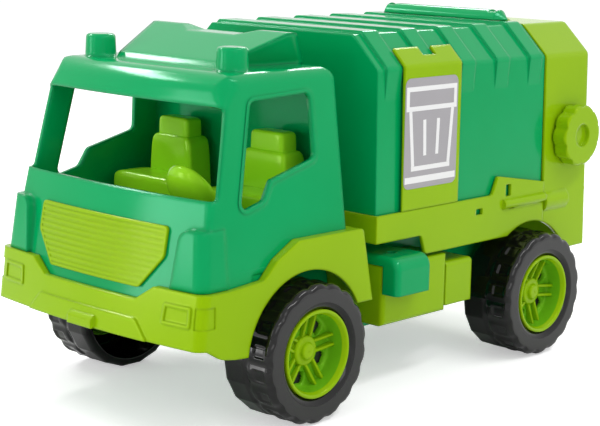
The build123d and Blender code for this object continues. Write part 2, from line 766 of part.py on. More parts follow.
def rim_solid():
    """The left wheel's rim about the X axis: a dish with five double ribs and a window between each pair."""
    shell = 2.2
    barrel = lip_radius - shell
    body = ring([
        (tyre_outer_x - 1, rim_radius),
        (tyre_outer_x + slip, rim_radius - 1),
        (tyre_outer_x + slip, lip_radius + 0.6),
        (tyre_outer_x - 1.5, lip_radius - 0.5),
        (tyre_outer_x - 3.5, lip_radius - 1.2),
        (tyre_outer_x - 4, lip_radius - shell),
        (tyre_outer_x - 9, 28.0),
        (dish_floor_x + 4, 27.2),
        (dish_floor_x, 24.0),
        (dish_floor_x, hub_radius),
        (hub_face_x - 1, hub_radius),
        (hub_face_x, hub_radius - 1),
        (hub_face_x, hub_cap_radius),
        (hub_face_x + hub_cap_length, hub_cap_radius - 0.5),
        (hub_face_x + hub_cap_length, 0),
        (axle_end_x + run_fit, 0),
        (axle_end_x + run_fit, axle_radius + run_fit),
        (hub_inner_x, axle_radius + run_fit),
        (hub_inner_x, hub_radius - 3),
        (dish_floor_x - shell, hub_radius - 2),
        (dish_floor_x - shell, 25.0),
        (dish_floor_x + 3, 29.4),
        (dish_floor_x + 3, barrel + 1.2),
        (tyre_inner_x + 6, barrel + 1.2),
        (tyre_inner_x + 6, rim_radius),
    ])
    rib_profile = [
        (dish_floor_x - 0.5, hub_radius - 2),
        (hub_face_x - 1.5, hub_radius - 2),
        (tyre_outer_x - 7, 28.6),
        (dish_floor_x - 0.5, 28.6),
    ]
    rib_face = make_face(Polyline(*rib_profile, close=True))
    a = radians(window_angle / 2)
    window = make_face(
        Line((window_inner_radius * cos(a), window_inner_radius * sin(a)),
             (window_outer_radius * cos(a), window_outer_radius * sin(a)))
        + ThreePointArc((window_outer_radius * cos(a), window_outer_radius * sin(a)), (window_outer_radius, 0),
                        (window_outer_radius * cos(a), -window_outer_radius * sin(a)))
        + Line((window_outer_radius * cos(a), -window_outer_radius * sin(a)),
               (window_inner_radius * cos(a), -window_inner_radius * sin(a)))
        + ThreePointArc((window_inner_radius * cos(a), -window_inner_radius * sin(a)), (window_inner_radius, 0),
                        (window_inner_radius * cos(a), window_inner_radius * sin(a))))
    window = fillet(window.vertices(), 2)
    for i in range(spoke_count):
        turn = 360 / spoke_count * i
        for side in (-1, 1):
            shift = side * (spoke_gap + spoke_rib) / 2
            rib = Pos(0, 0, shift - spoke_rib / 2) * extrude(rib_face, spoke_rib)
            body += Rot(turn, 0, 0) * rib
        cutter = Pos(dish_floor_x - 2 * shell, 0, 0) * Rot(turn + 180 / spoke_count, 0, 0) * Rot(90, 0, 0)
        cutter = cutter * Rot(0, 90, 0) * extrude(window, 3 * shell)
        body -= cutter
    return body


def tyre_solid():
    """The left wheel's tyre about the X axis: a tread of flats, hollow and open towards the chassis."""
    bead = rim_radius + 0.1
    crown = tyre_radius - tread_depth
    tread = Rot(0, 90, 0) * RegularPolygon(tyre_radius, tread_sides)
    body = Pos(tyre_inner_x, 0, 0) * extrude(tread, tyre_width)
    mould = ring([
        (tyre_outer_x - 1, 0),
        (tyre_outer_x - 1, bead),
        (tyre_outer_x, bead + 1),
        (tyre_outer_x, crown - sidewall_round),
        (tyre_outer_x - sidewall_round, tyre_radius),
        (tyre_inner_x + sidewall_round, tyre_radius),
        (tyre_inner_x, crown - sidewall_round),
        (tyre_inner_x, 0),
    ])
    hollow = ring([
        (tyre_inner_x - 1, 0),
        (tyre_inner_x - 1, crown - 2 * wall),
        (tyre_inner_x + wall, crown - wall),
        (tyre_outer_x - sidewall_round - wall, crown - wall),
        (tyre_outer_x - wall, crown - sidewall_round - wall),
        (tyre_outer_x - wall, bead + wall),
        (tyre_outer_x - 2 * wall, bead + wall),
        (tyre_outer_x - 2 * wall, bead),
        (tyre_outer_x + 1, bead),
        (tyre_outer_x + 1, 0),
    ])
    return (body & mould) - hollow


rim = rim_solid()
tyre = tyre_solid()
for name, y in (("front", front_axle_y), ("rear", rear_axle_y)):
    save(rod(axle_radius, -axle_end_x, axle_end_x, y, axle_z), f"axle_{name}")
    placed_rim = Pos(0, y, axle_z) * rim
    placed_tyre = Pos(0, y, axle_z) * tyre
    save(placed_rim, f"rim_{name}_left")
    save(mirrored(placed_rim), f"rim_{name}_right")
    save(placed_tyre, f"tyre_{name}_left")
    save(mirrored(placed_tyre), f"tyre_{name}_right")

# Bed tray

tray_rear_y = bin_rear_y
tray_step_y = saddle_rear_y + tray_step_back
inner_x = tray_half_width - wall
tray_side = across([
    (tray_front_y, tray_step_z),
    (tray_step_y, tray_step_z),
    (tray_step_y + tray_step_run / 2, tray_low_z),
    (tray_rear_y, tray_low_z),
    (tray_rear_y, ear_end_z),
    (gate_front_y - ear_peak, ear_top_z),
    (gate_front_y - ear_start, tray_top_z),
    (tray_front_y, tray_top_z),
], inner_x, tray_half_width, {1: 4, 2: 4, 5: 3, 6: 3})
for i in range(2):
    slot_y = gate_front_y - slot_front + slot_pitch * i
    tray_side -= block(inner_x - 1, tray_half_width + 1, slot_y, slot_y + slot_width, slot_z, slot_z + slot_height)
finger_y = gate_front_y - finger_slot_ahead
tray_side -= block(inner_x - 1, tray_half_width + 1, finger_y, finger_y + 7, finger_slot_z, finger_slot_z + finger_slot_height)
bar = Pos(tray_half_width - 1, (gate_front_y - bar_front + tray_rear_y) / 2, bar_z) * Rot(90, 0, 0) * Cylinder(
    bar_radius, bar_front - gate_gap)
bar -= block(0, inner_x, bin_front_y, rear_y, 0, cab_top_z)
tray = both(tray_side + bar)
tray += block(-inner_x - 1, inner_x + 1, tray_front_y, tray_rear_y, tray_floor_z, tray_floor_z + wall)
tray += block(-inner_x - 1, inner_x + 1, tray_front_y, tray_front_y + bin_front - tray_front - slip, tray_floor_z, tray_top_z)
# Runners under the floor rest on the deck
runner = block(chassis_half_width - 2 * wall, chassis_half_width - wall, tray_front_y, deck_rear_y - 2,
               chassis_top_z + slip, tray_floor_z + 1)
tray += both(runner)
tray -= rod(arch_radius, -reach, reach, rear_axle_y, axle_z)
lug_x0 = tip_lug_x - tip_lug_width / 2
lug_x1 = tip_lug_x + tip_lug_width / 2
tip_lug = across([
    (deck_rear_y + 2, tray_floor_z + 1),
    (tray_rear_y, tray_floor_z + 1),
    (tip_y + tip_eye_radius, tip_z + 2),
    (tip_y + tip_eye_radius, tip_z),
    (tip_y, tip_z - 1),
    (tip_y - tip_eye_radius, tip_z),
], lug_x0, lug_x1)
tip_lug += rod(tip_eye_radius, lug_x0, lug_x1, tip_y, tip_z)
tray += both(tip_lug)
tray -= rod(tip_pin_radius + run_fit, -reach, reach, tip_y, tip_z)
save(tray, "bed_tray")

# Bin


def bin_outline(inset, low_z):
    """Section of the bin, inset by a wall or proud by a rib."""
    high = bin_high_half_width - inset
    low = bin_low_half_width - inset
    share = (low_z - bin_floor_z) / (bin_shoulder_z - bin_floor_z)
    foot = low + (high - low) * share
    shoulder = bin_shoulder_z - inset * 0.4
    roof_x = bin_roof_half_width - inset * 0.4
    roof_z = bin_roof_z - inset
    return [(-foot, low_z), (-high, shoulder), (-roof_x, roof_z), (roof_x, roof_z), (high, shoulder), (foot, low_z)]


def all_round(radius):
    return {1: radius, 2: radius, 3: radius, 4: radius}


shell = along(bin_outline(0, bin_floor_z), bin_front_y, bin_rear_y, all_round(bin_edge_round))
shell -= along(bin_outline(wall, bin_floor_z + wall), bin_front_y + wall, bin_rear_y + cut)
rib_section = bin_outline(-rib_height, bin_shoulder_z - rib_foot)
rib_low_x = bin_outline(0, bin_shoulder_z - rib_foot)[-1][0]
rib_section[0] = (-rib_low_x, rib_section[0][1])
rib_section[-1] = (rib_low_x, rib_section[-1][1])
core = along(bin_outline(wall / 2, bin_floor_z), bin_front_y, bin_rear_y)
bin_length = bin_rear_y - bin_front_y
rib_pitch = (bin_length - rib_front - rib_rear) / (rib_count - 1)
for i in range(rib_count):
    rib_y = bin_front_y + rib_front + rib_pitch * i
    rib = along(rib_section, rib_y - rib_width / 2, rib_y + rib_width / 2, all_round(bin_edge_round + 1))
    shell += rib - core
save(shell, "bin")

# Straps

strap_y = bin_front_y + rib_front + rib_width / 2
strap_end_y = bin_front_y + rib_front + 2 * rib_pitch - rib_width / 2 - strap_short
strap_low_z = tray_top_z + slip
inner = bin_outline(-rib_height - slip, strap_low_z)
outer = bin_outline(-rib_height - slip - strap_thickness, strap_low_z)


def on_chamfer(section, x):
    """The height of a section's sloping shoulder at a distance from the middle."""
    (high_x, high_z), (roof_x, roof_z) = section[-2], section[-3]
    return high_z + (high_x - x) * (roof_z - high_z) / (high_x - roof_x)


strap = along([
    inner[-1],
    inner[-2],
    (strap_top_x, on_chamfer(inner, strap_top_x)),
    (strap_top_x + 1, on_chamfer(outer, strap_top_x + 1)),
    outer[-2],
    (tray_half_width, strap_low_z),
], strap_y, strap_end_y, {4: bin_edge_round})
notch_y = bin_front_y + rib_front + rib_pitch
notch_low_z = on_chamfer(inner, strap_top_x) - strap_notch_depth
strap -= block(0, tray_half_width, notch_y - strap_notch_width / 2, notch_y + strap_notch_width / 2, notch_low_z, bin_roof_z)
save(strap, "strap_left")
save(mirrored(strap), "strap_right")

# Hinge cover and pin on the bin's roof

cover_low_z = bin_roof_z + rib_height + slip
cover_top_z = cover_z + cover_radius
cover_zone = block(-reach, reach, gate_hinge_y - 2 * cover_radius, gate_hinge_y + 2 * cover_radius, cover_low_z, cover_top_z)
round_bar = rod(cover_radius, -cover_half_length, cover_half_length, gate_hinge_y, cover_z)
round_bar = chamfer(round_bar.edges().filter_by(GeomType.CIRCLE), cover_end)
half_round = round_bar & cover_zone
hollow = rod(cover_radius - cover_wall, -reach, reach, gate_hinge_y, cover_z)
cheek_x = cover_half_length - cover_end - wall
cheek_zone = block(cheek_x, reach, -length, length, 0, 2 * cab_top_z)
for x in (gate_lug_x - gate_lug_width, gate_lug_x - 2 * gate_lug_width):
    cheek_zone += block(x - wall / 2, x + wall / 2, -length, length, 0, 2 * cab_top_z)
cover = (half_round - hollow) + (half_round & both(cheek_zone))
slot_half = gate_lug_width / 2 + 0.8
slot = block(gate_lug_x - slot_half, gate_lug_x + slot_half, gate_hinge_y - cover_radius / 2,
             gate_hinge_y + 2 * cover_radius, cover_low_z - 1, cover_top_z + 1)
cover -= both(slot)
pin_half = cheek_x + 2 * wall
cover -= rod(gate_pin_radius + run_fit, -pin_half, pin_half, gate_hinge_y, gate_hinge_z)
save(cover, "hinge_cover")
save(rod(gate_pin_radius, slip - pin_half, pin_half - slip, gate_hinge_y, gate_hinge_z), "hinge_pin")

# Tailgate: a hood open to the bin and below, with the hopper's mouth behind


def gate_outline(inset, low_z):
    """Section of the tailgate, or the same section further in by a wall."""
    low = gate_low_half_width - inset
    high = gate_high_half_width - inset
    roof_x = bin_roof_half_width + 1 - inset * 0.4
    shoulder = bin_shoulder_z - inset * 0.4
    roof_z = bin_roof_z - inset
    return [(-low, low_z), (-high, shoulder), (-roof_x, roof_z), (roof_x, roof_z), (high, shoulder), (low, low_z)]


gate = along(gate_outline(0, gate_bottom_z), gate_front_y, rear_y, all_round(gate_edge_round))
gate = fillet(gate.faces().sort_by(Axis.Y)[-1].edges(), gate_round)
barrel = Pos(barrel_x, gate_front_y + barrel_length / 2, barrel_z) * Rot(90, 0, 0) * Cylinder(barrel_radius, barrel_length)
barrel = fillet(barrel.edges().sort_by(Axis.Y)[-1], 2)
gate += both(barrel)
gate -= along(gate_outline(wall, gate_bottom_z - cut), gate_front_y - 1, rear_y - wall)
floor_x = gate_low_half_width - wall + 1
gate += block(-floor_x, floor_x, gate_front_y + slip, rear_y - wall + 1, hopper_floor_z, hopper_floor_z + wall)
gate -= rod(arch_radius, -reach, reach, rear_axle_y, axle_z)
gate -= along([
    (-hopper_half_width, hopper_bottom_z), (-hopper_half_width, hopper_top_z),
    (hopper_half_width, hopper_top_z), (hopper_half_width, hopper_bottom_z),
], rear_y - 2 * wall, rear_y + cut, {0: hopper_round, 1: hopper_round, 2: hopper_round, 3: hopper_round})
lug_x0 = gate_lug_x - gate_lug_width / 2
lug_x1 = gate_lug_x + gate_lug_width / 2
gate_lug = across([
    (gate_front_y + 3, bin_roof_z - 1),
    (gate_front_y + 14, bin_roof_z - 1),
    (gate_hinge_y + 2, gate_hinge_z + gate_eye_radius - 0.2),
    (gate_hinge_y, gate_hinge_z + gate_eye_radius),
    (gate_hinge_y, gate_hinge_z - gate_eye_radius),
    (gate_front_y, gate_hinge_z - gate_eye_radius),
], lug_x0, lug_x1)
gate_lug += rod(gate_eye_radius, lug_x0, lug_x1, gate_hinge_y, gate_hinge_z)
gate += both(gate_lug)
gate -= rod(gate_pin_radius + run_fit, -reach, reach, gate_hinge_y, gate_hinge_z)
gate -= rod(press_shaft_radius + run_fit, -reach, reach, press_y, press_z)
save(gate, "tailgate")

# Press: a shaft with blades across the tailgate, and the knob that turns it


def gate_side_x(z):
    share = (z - gate_bottom_z) / (bin_shoulder_z - gate_bottom_z)
    return gate_low_half_width + (gate_high_half_width - gate_low_half_width) * share


knob_x = gate_side_x(press_z) + knob_gap
shaft_end_x = knob_x + knob_thickness / 2
press = rod(press_shaft_radius, 1 - gate_side_x(press_z), shaft_end_x, press_y, press_z)
blade_x = gate_high_half_width - 3 * wall
for i in range(press_blade_count):
    blade = block(-blade_x, blade_x, -wall / 2, wall / 2, 0, press_blade_radius)
    press += Pos(0, press_y, press_z) * Rot(360 / press_blade_count * i, 0, 0) * blade
save(press, "press")

knob_face_x = knob_x + knob_thickness
knob = rod(knob_radius - 2, knob_x, knob_face_x, 0, 0)
for i in range(knob_lobe_count):
    lobe = rod(knob_lobe_radius, knob_x, knob_face_x, knob_radius - knob_lobe_radius, 0)
    knob += Rot(360 / knob_lobe_count * i, 0, 0) * lobe
knob_envelope = rod(knob_radius, knob_x, knob_face_x, 0, 0)
knob &= chamfer(knob_envelope.edges().sort_by(Axis.X)[-1], knob_bevel)
knob = Pos(0, press_y, press_z) * knob
knob -= rod(knob_recess_radius, knob_face_x - knob_recess_depth, reach, press_y, press_z)
knob -= rod(press_shaft_radius + run_fit, knob_x - 1, shaft_end_x + run_fit, press_y, press_z)
save(knob, "knob")
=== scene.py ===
import json
from math import cos, pi, radians, sin

import bpy
import numpy as np
from mathutils import Matrix, Vector


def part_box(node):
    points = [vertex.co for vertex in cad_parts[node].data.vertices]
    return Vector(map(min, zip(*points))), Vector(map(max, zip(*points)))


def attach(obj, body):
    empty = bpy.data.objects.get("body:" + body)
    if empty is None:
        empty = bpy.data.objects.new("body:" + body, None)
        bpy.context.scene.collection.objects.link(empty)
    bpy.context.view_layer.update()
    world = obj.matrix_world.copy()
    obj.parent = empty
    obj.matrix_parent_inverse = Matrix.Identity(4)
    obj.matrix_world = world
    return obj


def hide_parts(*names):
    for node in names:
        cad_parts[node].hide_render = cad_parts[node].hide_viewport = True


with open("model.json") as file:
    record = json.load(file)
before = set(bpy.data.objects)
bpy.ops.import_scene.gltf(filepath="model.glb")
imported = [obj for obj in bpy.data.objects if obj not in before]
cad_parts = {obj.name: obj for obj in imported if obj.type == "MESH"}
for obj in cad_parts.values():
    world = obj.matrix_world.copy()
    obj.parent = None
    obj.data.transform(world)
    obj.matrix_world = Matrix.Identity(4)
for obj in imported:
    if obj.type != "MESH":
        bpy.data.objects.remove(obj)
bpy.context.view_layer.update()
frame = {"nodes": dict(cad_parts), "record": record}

nodes = frame["nodes"]
scene = bpy.context.scene

# Camera
# It looks at the truck's front left corner from a little above the cab's belt.
# Its place and lens were worked out from the wheels' ellipses and the bin's edges.
camera_place = Vector((0.91409, -0.97218, 0.37791))
camera_azimuth = radians(43.59)
camera_elevation = radians(10.66)
camera_roll = radians(1.07)
back = Vector((
    sin(camera_azimuth) * cos(camera_elevation),
    -cos(camera_azimuth) * cos(camera_elevation),
    sin(camera_elevation),
))
level_right = (-back).cross(Vector((0, 0, 1))).normalized()
level_up = level_right.cross(-back)
right = cos(camera_roll) * level_right + sin(camera_roll) * level_up
up = -sin(camera_roll) * level_right + cos(camera_roll) * level_up
camera_data = bpy.data.cameras.new("camera")
camera_data.sensor_width = 36.0
camera_data.lens = 96.35
camera = bpy.data.objects.new("camera", camera_data)
scene.collection.objects.link(camera)
camera.matrix_world = Matrix((
    (right.x, up.x, back.x, camera_place.x),
    (right.y, up.y, back.y, camera_place.y),
    (right.z, up.z, back.z, camera_place.z),
    (0, 0, 0, 1),
))
scene.camera = camera

# Studio
# A pale floor without an end, and a world that is white where the camera or a gloss sees it.
# Two soft boxes light the face and the side, and four narrow strips draw light lines on the edges.
scene.view_settings.view_transform = "Standard"
world = bpy.data.worlds.new("studio")
scene.world = world
world.use_nodes = True
world_tree = world.node_tree
world_tree.nodes.clear()


def white_light(tree, kind, strength):
    """A white background or glow of a given strength."""
    light = tree.nodes.new(kind)
    light.inputs["Color"].default_value = (1, 1, 1, 1)
    light.inputs["Strength"].default_value = strength
    return light


def either(tree, chooser, plain, chosen):
    """A shader that is the plain one where the chooser is 0, and the chosen one where it is 1."""
    mix = tree.nodes.new("ShaderNodeMixShader")
    tree.links.new(chooser, mix.inputs["Fac"])
    tree.links.new(plain.outputs[0], mix.inputs[1])
    tree.links.new(chosen.outputs[0], mix.inputs[2])
    return mix


path = world_tree.nodes.new("ShaderNodeLightPath")
lit_sky = white_light(world_tree, "ShaderNodeBackground", 0.62)
white_sky = white_light(world_tree, "ShaderNodeBackground", 1.0)
seen_or_glossy = world_tree.nodes.new("ShaderNodeMath")
seen_or_glossy.operation = "MAXIMUM"
world_tree.links.new(path.outputs["Is Camera Ray"], seen_or_glossy.inputs[0])
world_tree.links.new(path.outputs["Is Glossy Ray"], seen_or_glossy.inputs[1])
sky_mix = either(world_tree, seen_or_glossy.outputs[0], lit_sky, white_sky)
world_output = world_tree.nodes.new("ShaderNodeOutputWorld")
world_tree.links.new(sky_mix.outputs[0], world_output.inputs["Surface"])


def soft_box(name, place, target, width, height, power):
    """A rectangular lamp at a place, facing a target."""
    data = bpy.data.lights.new(name, "AREA")
    data.shape = "RECTANGLE"
    data.size = width
    data.size_y = height
    data.energy = power
    lamp = bpy.data.objects.new(name, data)
    scene.collection.objects.link(lamp)
    turn = (Vector(target) - Vector(place)).to_track_quat("-Z", "Y")
    lamp.matrix_world = Matrix.Translation(place) @ turn.to_matrix().to_4x4()


def new_piece(name, mesh, material):
    """Adds a mesh to the scene as a piece of one material."""
    mesh.materials.append(material)
    piece = bpy.data.objects.new(name, mesh)
    scene.collection.objects.link(piece)
    return piece


soft_box("front", (-1.06, -1.8, 0.36), (0, -0.1, 0.15), 0.55, 0.9, 8.5)
soft_box("side", (1.9, -0.9, 1.2), (0, 0, 0.12), 1.1, 0.8, 5)
soft_box("strip_left", (-1.35, -0.35, 1.45), (0, -0.15, 0.25), 1.0, 0.16, 11)
soft_box("strip_back", (-0.85, 1.35, 1.4), (0, 0.05, 0.25), 0.9, 0.14, 11)
soft_box("strip_top", (1.05, 0.28, 1.7), (0.05, 0.0, 0.15), 1.6, 0.12, 11)
soft_box("strip_corner", (-0.15, -2.0, 0.75), (0, -0.2, 0.15), 0.10, 1.2, 3.5)

floor_half = 6.0
floor_z = -0.0005
floor_material = bpy.data.materials.new("pale_floor")
floor_material.use_nodes = True
floor_tree = floor_material.node_tree
floor_shader = floor_tree.nodes["Principled BSDF"]
floor_shader.inputs["Base Color"].default_value = (0.93, 0.93, 0.93, 1)
floor_shader.inputs["Roughness"].default_value = 0.9
floor_path = floor_tree.nodes.new("ShaderNodeLightPath")
no_glow = white_light(floor_tree, "ShaderNodeEmission", 0.0)
floor_glow = white_light(floor_tree, "ShaderNodeEmission", 0.45)
glow_mix = either(floor_tree, floor_path.outputs["Is Camera Ray"], no_glow, floor_glow)
floor_sum = floor_tree.nodes.new("ShaderNodeAddShader")
floor_tree.links.new(floor_shader.outputs[0], floor_sum.inputs[0])
floor_tree.links.new(glow_mix.outputs[0], floor_sum.inputs[1])
floor_tree.links.new(floor_sum.outputs[0], floor_tree.nodes["Material Output"].inputs["Surface"])
floor_mesh = bpy.data.meshes.new("floor")
floor_signs = ((-1, -1), (1, -1), (1, 1), (-1, 1))
floor_corners = [(x * floor_half, y * floor_half, floor_z) for x, y in floor_signs]
floor_mesh.from_pydata(floor_corners, [], [(0, 1, 2, 3)])
floor = new_piece("floor", floor_mesh, floor_material)

# Green mouldings: cab, chassis with its side boxes, bin, hinge cover and press
# The real pieces are injection-moulded plastic, coloured through, with a smooth bright skin.
# The model's own pieces are shown. The finish shades their edges soft, with faint streaks.


def moulded_plastic(name, light, dark, roughness, edge_radius, gloss_tint=(1, 1, 1)):
    """Glossy moulded plastic: two near shades in slow streaks, a tinted gloss and soft edges."""
    material = bpy.data.materials.new(name)
    material.use_nodes = True
    tree = material.node_tree
    shader = tree.nodes["Principled BSDF"]
    place = tree.nodes.new("ShaderNodeTexCoord")
    flow = tree.nodes.new("ShaderNodeTexNoise")
    flow.inputs["Scale"].default_value = 14.0
    flow.inputs["Detail"].default_value = 3.0
    tree.links.new(place.outputs["Object"], flow.inputs["Vector"])
    ramp = tree.nodes.new("ShaderNodeValToRGB")
    ramp.color_ramp.elements[0].position = 0.3
    ramp.color_ramp.elements[0].color = (*dark, 1)
    ramp.color_ramp.elements[1].position = 0.7
    ramp.color_ramp.elements[1].color = (*light, 1)
    tree.links.new(flow.outputs["Fac"], ramp.inputs["Fac"])
    tree.links.new(ramp.outputs["Color"], shader.inputs["Base Color"])
    edge = tree.nodes.new("ShaderNodeBevel")
    edge.samples = 8
    edge.inputs["Radius"].default_value = edge_radius
    tree.links.new(edge.outputs["Normal"], shader.inputs["Normal"])
    shader.inputs["Roughness"].default_value = roughness
    shader.inputs["Specular IOR Level"].default_value = 0.38
    shader.inputs["Specular Tint"].default_value = (*gloss_tint, 1)
    return material


def finish_pieces(names, material):
    """Gives some of the model's own pieces one finish."""
    for name in names:
        mesh = nodes[name].data
        mesh.materials.clear()
        mesh.materials.append(material)


def slot_pieces(slot):
    """The names of the model's pieces in one of the record's material slots."""
    return [part["node"] for part in frame["record"]["subparts"] if part["material_slot"] == slot]


light_green = (0.0, 0.36, 0.108)
deep_green = (0.0, 0.34, 0.098)
green_gloss = (0.28, 0.8, 0.6)
green_plastic = moulded_plastic("green_plastic", light_green, deep_green, 0.13, 0.0024, green_gloss)
finish_pieces(slot_pieces("dark_green"), green_plastic)
# The cab's corners are shaded rounder than the others
cab_plastic = moulded_plastic("cab_plastic", light_green, deep_green, 0.13, 0.0055, green_gloss)
finish_pieces(["cab"], cab_plastic)

# Lime mouldings: bumper with the wings, grille, skirts, bed tray, straps, tailgate and knob
# The real pieces are the same glossy plastic in a yellow green.
# The rims, the seats and the steering wheel are drawn below.
light_lime = (0.285, 0.495, 0.003)
dark_lime = (0.265, 0.475, 0.002)
lime_gloss = (0.75, 0.9, 0.08)
lime_plastic = moulded_plastic("lime_plastic", light_lime, dark_lime, 0.15, 0.0026, lime_gloss)
finish_pieces(slot_pieces("lime"), lime_plastic)

# Steel rods: two axles, the tipping pin and the tailgate's pin
# The real pieces are drawn wire, cut to length, and hardly show.
steel_wire = moulded_plastic("steel_wire", (0.5, 0.5, 0.5), (0.42, 0.42, 0.42), 0.3, 0.0003)
steel_wire.node_tree.nodes["Principled BSDF"].inputs["Metallic"].default_value = 1.0
finish_pieces(slot_pieces("steel"), steel_wire)

# Tyres
# The real tyres are hard hollow mouldings, gloss black on the tread and duller on the side.
# Eighteen rounded lumps with a pocket each run round the outer half, and eighteen flats round the
# inner one.


def ring_skin(name, points, material, left_out=None):
    """A smooth skin over a grid of points: a closed section's points, each carried round an axle.

    Some faces of the grid can be left out.
    """
    rows, columns, _ = points.shape
    index = np.arange(rows * columns).reshape(rows, columns)
    onward = np.roll(index, -1, axis=1)
    across = np.roll(index, -1, axis=0)
    both = np.roll(across, -1, axis=1)
    quads = np.stack([index, onward, both, across], axis=-1).reshape(-1, 4)
    if left_out is not None:
        quads = quads[~left_out.reshape(-1)]
    mesh = bpy.data.meshes.new(name)
    mesh.vertices.add(rows * columns)
    mesh.vertices.foreach_set("co", points.reshape(-1).astype(np.float32))
    mesh.loops.add(quads.size)
    mesh.loops.foreach_set("vertex_index", quads.reshape(-1).astype(np.int32))
    mesh.polygons.add(len(quads))
    mesh.polygons.foreach_set("loop_start", np.arange(0, quads.size, 4, dtype=np.int32))
    mesh.polygons.foreach_set("use_smooth", np.ones(len(quads), dtype=bool))
    mesh.update()
    mesh.validate()
    return new_piece(name, mesh, material)


def smooth_step(values, start, end):
    """0 before start, 1 after end, and a smooth slope between."""
    share = np.clip((values - start) / (end - start), 0, 1)
    return share * share * (3 - 2 * share)


def along_outline(corners, step):
    """Points close together along an outline of straight lines, closed at its end."""
    points = []
    for start, end in zip(corners, corners[1:] + corners[:1]):
        along = (end[0] - start[0], end[1] - start[1])
        count = max(1, int(np.hypot(*along) / step))
        for i in range(count):
            share = i / count
            points.append((start[0] + along[0] * share, start[1] + along[1] * share))
    return np.array(points)


# Section of the tyre: depth from its outer face, and radius, both in millimetres
tyre_section = [
    (3.6, 34.2), (2.6, 35.0), (1.3, 36.4), (0.4, 38.0), (0.0, 39.6), (0.0, 48.6), (0.25, 50.2),
    (1.1, 51.9), (2.6, 53.2), (4.6, 53.9), (7.0, 53.98), (21.0, 53.98), (22.8, 53.8), (23.6, 53.3),
    (24.4, 53.1), (26.0, 53.3), (28.0, 53.95), (45.5, 53.95), (47.8, 53.2), (49.1, 51.9),
    (49.8, 50.2), (49.95, 48.6), (49.9, 47.0), (49.6, 46.0), (47.0, 48.6), (7.0, 48.8), (3.2, 45.0),
    (3.2, 38.0), (6.0, 36.6), (6.0, 34.2),
]
section_step = 1.1
lump_count = 18
steps_per_lump = 22
valley_depth = 1.5
pocket_depth = 1.3
flat_depth = 0.9
tread_foot = 49.6
shoulder_depth = 6.9
section = along_outline(tyre_section, section_step)
depth = section[:, 0][:, None]
radius = section[:, 1][:, None]
on_tread = radius > tread_foot
outside = smooth_step(radius, 47.0, 51.5) * ((depth < shoulder_depth) | on_tread)
turn = np.arange(lump_count * steps_per_lump)[None, :] / (lump_count * steps_per_lump)
in_lump = 2 * ((turn * lump_count) % 1.0) - 1
valley = smooth_step(np.abs(in_lump), 0.25, 1.0)
inner_half = smooth_step(depth, 22.0, 26.0) * on_tread
tread_part = outside * (1 - inner_half)
pocket_across = smooth_step(depth, 5.2, 6.8) * (1 - smooth_step(depth, 16.0, 17.8))
pocket = (1 - smooth_step(np.abs(in_lump), 0.40, 0.54)) * pocket_across
tyre_radii = (radius - tread_part * valley_depth * valley - on_tread * pocket_depth * pocket
              - inner_half * flat_depth * (1 - in_lump**2))
side_face = np.repeat((section[:, 0] < 0.2) & (section[:, 1] > 38.5) & (section[:, 1] < 51), turn.size)
black_plastic = moulded_plastic("black_plastic", (0.006, 0.006, 0.006), (0.004, 0.004, 0.004), 0.12, 0.0004)
# The duller black is the tyres' side finish, and also the painted shade behind the rims' openings below
dull_black_and_shade = moulded_plastic("dull_black_and_shade", (0.032, 0.032, 0.032), (0.026, 0.026, 0.026), 0.28, 0.0004)

for end in ("front", "rear"):
    for side_name, side in (("left", 1), ("right", -1)):
        node = f"tyre_{end}_{side_name}"
        low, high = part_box(node)
        outer_x = high[0] if side > 0 else low[0]
        axle_y = (low[1] + high[1]) / 2
        axle_z = (low[2] + high[2]) / 2
        angle = 2 * pi * turn * -side
        x = outer_x - side * depth / 1000
        y = axle_y + tyre_radii / 1000 * np.cos(angle)
        z = axle_z + tyre_radii / 1000 * np.sin(angle)
        points = np.stack(np.broadcast_arrays(x, y, z), axis=-1)
        tyre = ring_skin(f"tyre_skin_{end}_{side_name}", points, black_plastic)
        tyre.data.materials.append(dull_black_and_shade)
        tyre.data.polygons.foreach_set("material_index", side_face.astype(np.int32))
        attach(tyre, f"wheel_{end}_{side_name}")
        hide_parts(node)

# Rims
# The real rim is a deep lime dish with a broad hub, five pairs of ribs, and a round-cornered
# opening between each two pairs. One closed section is carried round the axle. The openings are
# pressed into the dish's floor, down to the section's back face, painted dull black there as painted shade.
rim_section = [
    (11.1, 0.4), (11.1, 5.2), (11.5, 6.0), (12.6, 6.5), (13.8, 6.7), (14.1, 7.2), (14.1, 10.4),
    (14.6, 11.2), (15.2, 11.6), (17.6, 11.8), (18.3, 12.4), (18.3, 26.8), (17.8, 27.9), (16.6, 28.6),
    (14.0, 28.9), (9.0, 29.3), (5.0, 29.6), (4.2, 29.8), (3.8, 30.4), (2.2, 31.0), (1.4, 31.6),
    (1.0, 32.4), (1.1, 33.4), (1.8, 33.9), (12.0, 33.95), (12.0, 32.8), (6.6, 32.0), (10.0, 31.4),
    (18.6, 30.6), (21.7, 29.4), (22.4, 28.0), (22.4, 12.0), (22.4, 0.4),
]
rim_step = 0.6
rim_turns = 300
rib_pairs = 5
opening_radius = 21.6
opening_half_width = 5.6
opening_half_height = 4.9
press_depth = 5.0
rim_points = along_outline(rim_section, rim_step)
rim_depth = rim_points[:, 0][:, None]
rim_radius = rim_points[:, 1][:, None]
rim_turn = np.arange(rim_turns)[None, :] / rim_turns
from_opening = ((rim_turn * rib_pairs + 0.5) % 1.0 - 0.5) * 2 * pi / rib_pairs
across_opening = np.abs(from_opening * rim_radius) / opening_half_width
along_opening = np.abs(rim_radius - opening_radius) / opening_half_height
roundness = (across_opening**4 + along_opening**4) ** 0.25
dish_floor = (rim_depth > 16.8) * (rim_depth < 18.4) * (rim_radius > 12.3)
pressed = dish_floor * (1 - smooth_step(roundness, 0.86, 1.06))
rim_depths = rim_depth + press_depth * pressed
open_bottom = pressed > 0.97
